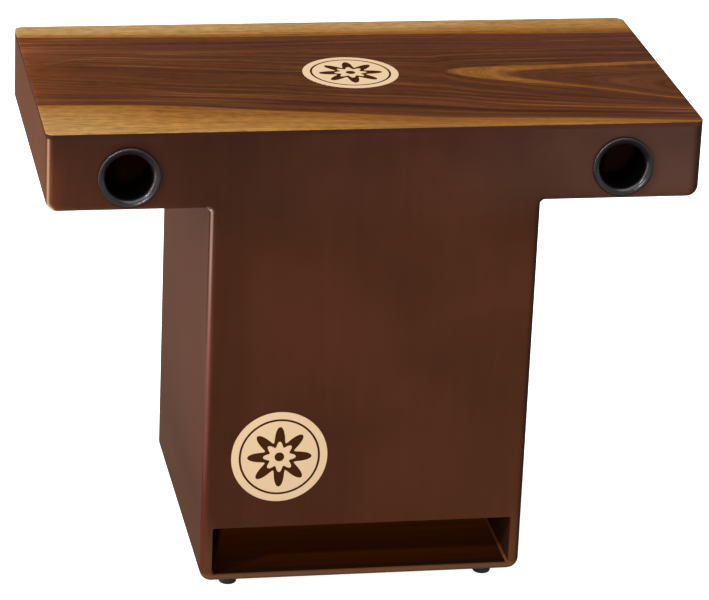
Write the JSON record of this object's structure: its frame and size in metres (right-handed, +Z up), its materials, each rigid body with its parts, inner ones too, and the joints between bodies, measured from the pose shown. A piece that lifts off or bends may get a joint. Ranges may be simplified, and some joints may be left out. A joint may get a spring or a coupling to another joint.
{
  "type": "slap-top lap cajon",
  "caption": "T-shaped wooden lap drum with a walnut playing surface, round front sound ports in its wings and a wide bass slot at the foot of its column.",
  "frame": {"origin": "on the floor under the middle of the object's box, port flanges included", "axes": "+X along the playing surface to the player's view of the picture's right, +Y from the port side to the plain back, +Z up"},
  "size_m": [0.5, 0.2634, 0.3828],
  "materials": {
    "walnut_veneer": "satin lacquered walnut with pale sapwood bands",
    "stained_board": "dark red-brown stain, semi-matt",
    "black_plastic": "finely textured black",
    "cream_film": "smooth cream film",
    "foot_rubber": "matt dark grey rubber",
    "screw_steel": "zinc plated",
    "beech": "planed, unfinished",
    "snare_steel": "drawn wire"
  },
  "bodies": {
    "root": {"top_veneer": "walnut_veneer", "top_board": "stained_board", "front_panel": "stained_board", "back_panel": "stained_board", "wing_end_left": "stained_board", "wing_end_right": "stained_board", "wing_floor_left": "stained_board", "wing_floor_right": "stained_board", "column_side_left": "stained_board", "column_side_right": "stained_board", "column_floor": "stained_board", "port_tube_left": "black_plastic", "port_tube_right": "black_plastic", "front_disc": "cream_film", "top_disc": "cream_film", "rubber_foot_front_left": "foot_rubber", "rubber_foot_front_right": "foot_rubber", "rubber_foot_back_left": "foot_rubber", "rubber_foot_back_right": "foot_rubber", "foot_screw_front_left": "screw_steel", "foot_screw_front_right": "screw_steel", "foot_screw_back_left": "screw_steel", "foot_screw_back_right": "screw_steel", "snare_screw_left_front": "screw_steel", "snare_screw_left_back": "screw_steel", "snare_screw_right_front": "screw_steel", "snare_screw_right_back": "screw_steel", "snare_rail_left": "beech", "snare_rail_right": "beech", "top_batten_front": "beech", "top_batten_back": "beech", "snare_wires_left": "snare_steel", "snare_wires_right": "snare_steel"}
  },
  "joints": []
}
